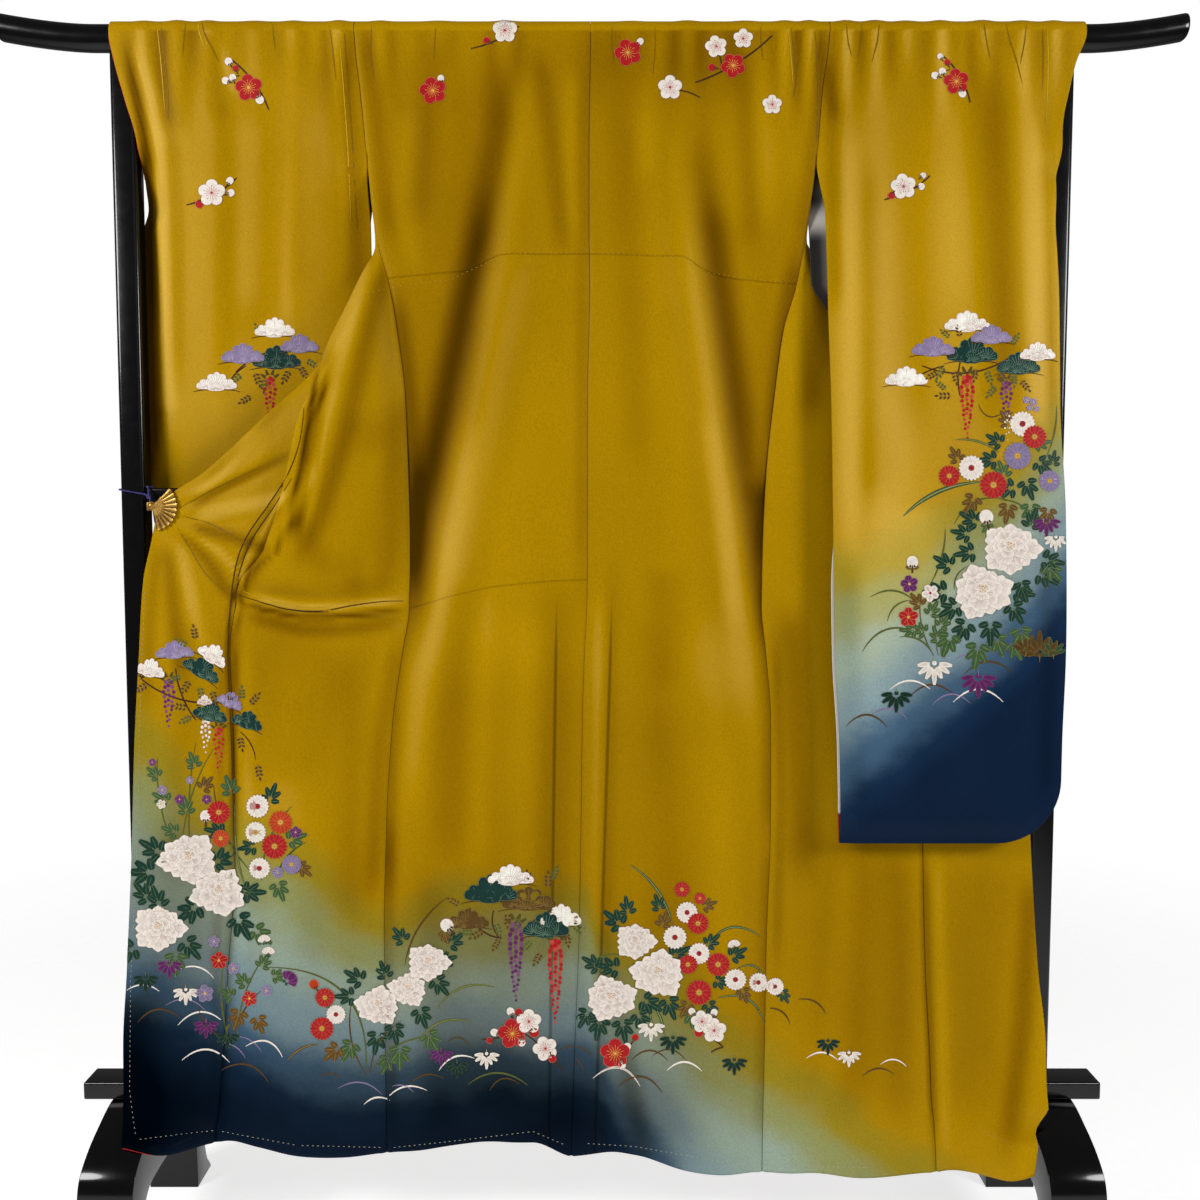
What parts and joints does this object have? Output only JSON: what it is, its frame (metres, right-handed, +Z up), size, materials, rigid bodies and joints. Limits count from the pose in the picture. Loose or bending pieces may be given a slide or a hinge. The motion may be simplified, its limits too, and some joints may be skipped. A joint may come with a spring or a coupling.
{
  "type": "furisode kimono on a lacquered kimono stand",
  "caption": "Long-sleeved silk furisode hung from the back over the bar of a lacquered stand, its fronts spread as wings and one held to its post by a fan clip.",
  "frame": {"origin": "on the floor under the middle of the stand", "axes": "+Z up, +X along the bar towards the wearer's right sleeve, and the garment's back with its outside faces -Y"},
  "size_m": [1.6, 0.3298, 1.7048],
  "materials": {
    "silk": "crepe silk in antique gold, dyed through sage and blue grey to navy",
    "lacquer": "gloss black lacquer",
    "fan_brass": "antique brushed brass",
    "tie_cord": "indigo cord"
  },
  "bodies": {
    "root": {"body_left": "silk", "body_right": "silk", "okumi_left": "silk", "okumi_right": "silk", "sleeve_left": "silk", "sleeve_right": "silk", "collar": "silk", "top_bar": "lacquer", "post_left": "lacquer", "post_right": "lacquer", "middle_rail": "lacquer", "bottom_rail": "lacquer", "foot_left": "lacquer", "foot_right": "lacquer", "fan_clip": "fan_brass", "tie_cord": "tie_cord", "tie_knot": "tie_cord", "tie_link": "tie_cord"}
  },
  "joints": []
}
